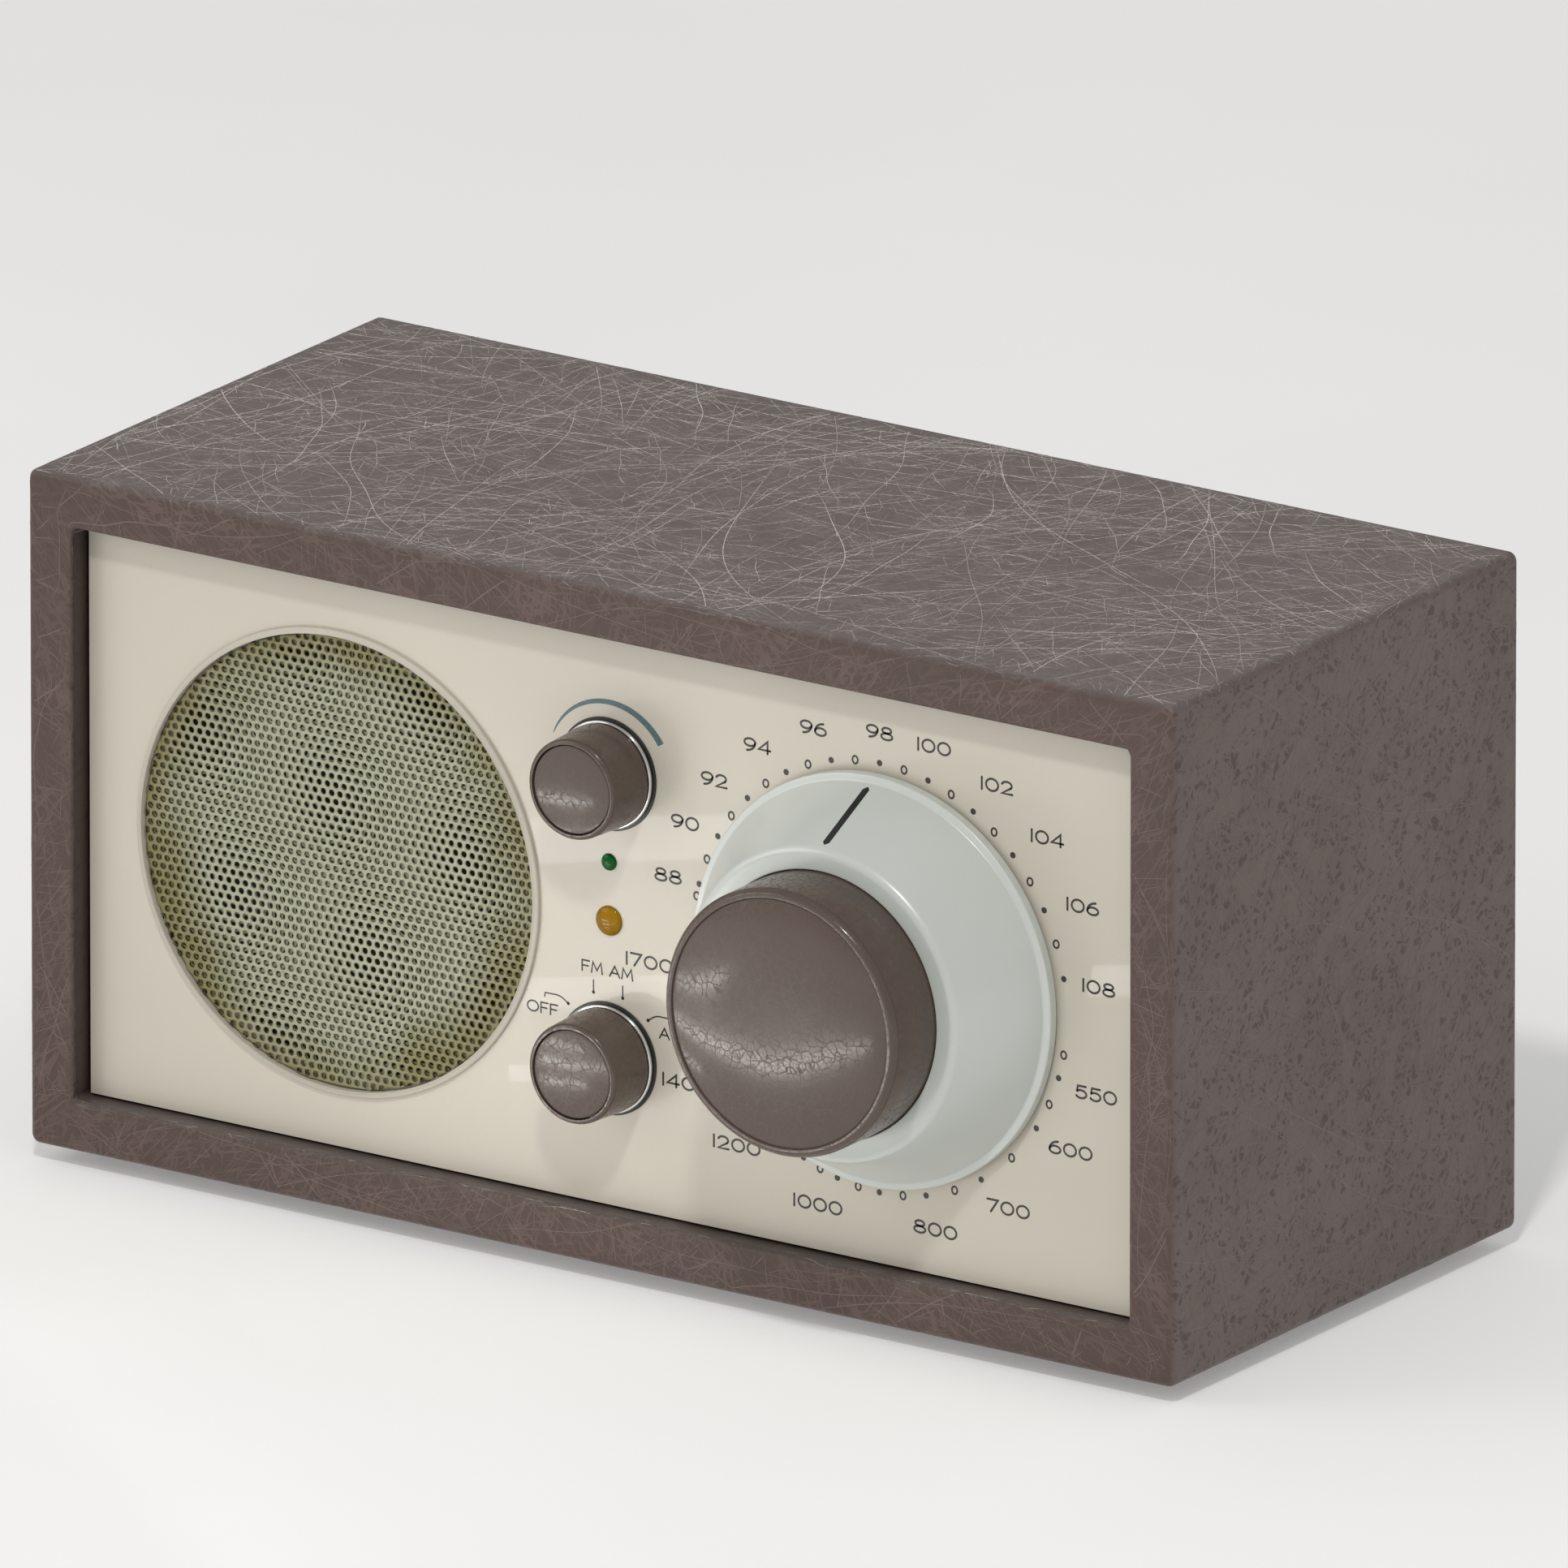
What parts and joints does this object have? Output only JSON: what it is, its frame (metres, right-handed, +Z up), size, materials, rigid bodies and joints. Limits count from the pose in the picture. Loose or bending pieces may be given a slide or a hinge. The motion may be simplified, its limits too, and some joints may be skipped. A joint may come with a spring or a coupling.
{
  "type": "table radio",
  "caption": "Compact covered-case table radio with a round perforated loudspeaker grille, two small control knobs, two lamps and a large geared tuning dial.",
  "frame": {"origin": "on the table plane, under the centre of the box round the whole radio with its knobs", "axes": "+X to the right seen from the front, +Y from the front to the back, +Z up"},
  "size_m": [0.218, 0.1218, 0.115],
  "materials": {
    "board_wood": "bare fibreboard",
    "cleat_wood": "planed softwood",
    "covering": "taupe leather-look covering with crossed pale fibres, satin",
    "panel_cream": "warm cream, fine matt texture",
    "trim_cream": "warm cream, satin",
    "grille_paint": "greenish cream paint on perforated sheet",
    "backing_paint": "dull black",
    "gasket_rubber": "matt",
    "basket_paint": "black paint",
    "magnet_black": "dull sintered",
    "plated_steel": "zinc plated",
    "ball_steel": "polished hardened steel",
    "control_alloy": "turned",
    "carrier_brass": "turned",
    "spider_cloth": "resin-dipped cloth",
    "cone_paper": "pressed pulp",
    "copper_wire": "enamelled wire",
    "black_plastic": "satin",
    "foot_rubber": "matt",
    "knob_plastic": "glossy taupe with a fine crackle",
    "ring_chrome": "bright",
    "dial_silver": "satin silver",
    "lamp_green": "clear tinted, unlit",
    "lamp_amber": "clear tinted, unlit",
    "circuit_board": "solder mask",
    "back_black": "fine matt texture",
    "socket_black": "moulded"
  },
  "bodies": {
    "cabinet": {"top_board": "board_wood", "bottom_board": "board_wood", "left_board": "board_wood", "right_board": "board_wood", "leather_cover": "covering", "front_cleat": "cleat_wood", "rear_cleat": "cleat_wood", "front_panel": "panel_cream", "grille": "grille_paint", "grille_ring": "trim_cream", "grille_backing": "backing_paint", "speaker_gasket": "gasket_rubber", "speaker_basket": "basket_paint", "speaker_magnet": "magnet_black", "speaker_pole": "plated_steel", "speaker_surround": "gasket_rubber", "speaker_spider": "spider_cloth", "speaker_screws": "plated_steel", "bass_port": "black_plastic", "feet": "foot_rubber", "foot_screws": "plated_steel", "volume_control": "plated_steel", "selector_switch": "plated_steel", "shaft_nuts": "plated_steel", "drive_housing": "plated_steel", "tuning_capacitor": "control_alloy", "power_lamp": "lamp_green", "tuning_lamp": "lamp_amber", "main_board": "circuit_board", "power_transformer": "plated_steel", "rear_board": "circuit_board", "ferrite_rod": "magnet_black", "back_panel": "back_black", "back_screws": "plated_steel", "mains_inlet": "socket_black", "dc_jack": "socket_black", "audio_jacks": "socket_black", "antenna_socket": "plated_steel"},
    "cone_assembly": {"speaker_cone": "cone_paper", "dust_cap": "cone_paper", "voice_coil": "copper_wire"},
    "volume": {"volume_shaft": "control_alloy", "volume_knob": "knob_plastic", "volume_knob_cap": "knob_plastic", "volume_knob_ring": "ring_chrome"},
    "selector": {"selector_shaft": "control_alloy", "selector_knob": "knob_plastic", "selector_knob_cap": "knob_plastic", "selector_knob_ring": "ring_chrome"},
    "tuner_knob": {"tuning_spindle": "ball_steel", "tuning_knob": "knob_plastic"},
    "dial": {"ball_carrier": "carrier_brass", "tuning_dial": "dial_silver", "dial_pointer": "black_plastic", "capacitor_rotor": "control_alloy"},
    "ball_1": {"drive_ball_1": "ball_steel"},
    "ball_2": {"drive_ball_2": "ball_steel"},
    "ball_3": {"drive_ball_3": "ball_steel"},
    "antenna_slider": {"antenna_switch": "black_plastic"},
    "pairing_key": {"pairing_button": "black_plastic"}
  },
  "joints": [
    {"name": "volume_turn", "type": "hinge", "parent": "cabinet", "child": "volume", "pos_m": [-0.00105, -0.0318, 0.083], "axis": [0, 1, 0], "range_deg": [-150, 150]},
    {"name": "selector_turn", "type": "hinge", "parent": "cabinet", "child": "selector", "pos_m": [-0.00105, -0.0318, 0.036], "axis": [0, 1, 0], "range_deg": [0, 90]},
    {"name": "tuning_turn", "type": "hinge", "parent": "cabinet", "child": "tuner_knob", "pos_m": [0.0505, -0.0318, 0.0588], "axis": [0, 1, 0], "range_deg": [-400, 410]},
    {"name": "dial_turn", "type": "hinge", "parent": "cabinet", "child": "dial", "pos_m": [0.0505, -0.0318, 0.0588], "axis": [0, 1, 0], "range_deg": [-80.5, 82.5]},
    {"name": "ball_1_spin", "type": "hinge", "parent": "dial", "child": "ball_1", "pos_m": [0.0505, -0.0229, 0.0663], "axis": [0, 1, 0], "range_deg": [-220, 215]},
    {"name": "ball_2_spin", "type": "hinge", "parent": "dial", "child": "ball_2", "pos_m": [0.04401, -0.0229, 0.05505], "axis": [0, 1, 0], "range_deg": [-220, 215]},
    {"name": "ball_3_spin", "type": "hinge", "parent": "dial", "child": "ball_3", "pos_m": [0.05699, -0.0229, 0.05505], "axis": [0, 1, 0], "range_deg": [-220, 215]},
    {"name": "cone_move", "type": "slide", "parent": "cabinet", "child": "cone_assembly", "axis": [0, -1, 0], "range_m": [-0.0012, 0.0012], "stiffness_N_per_m": 1200},
    {"name": "antenna_switch_slide", "type": "slide", "parent": "cabinet", "child": "antenna_slider", "axis": [1, 0, 0], "range_m": [0, 0.004]},
    {"name": "pairing_press", "type": "slide", "parent": "cabinet", "child": "pairing_key", "axis": [0, -1, 0], "range_m": [0, 0.001], "stiffness_N_per_m": 400, "springref_m": -0.001}
  ],
  "couplings": [
    {"joint": "dial_turn", "follows": "tuning_turn", "ratio": 0.2},
    {"joint": "ball_1_spin", "follows": "tuning_turn", "ratio": -0.53333},
    {"joint": "ball_2_spin", "follows": "tuning_turn", "ratio": -0.53333},
    {"joint": "ball_3_spin", "follows": "tuning_turn", "ratio": -0.53333}
  ]
}
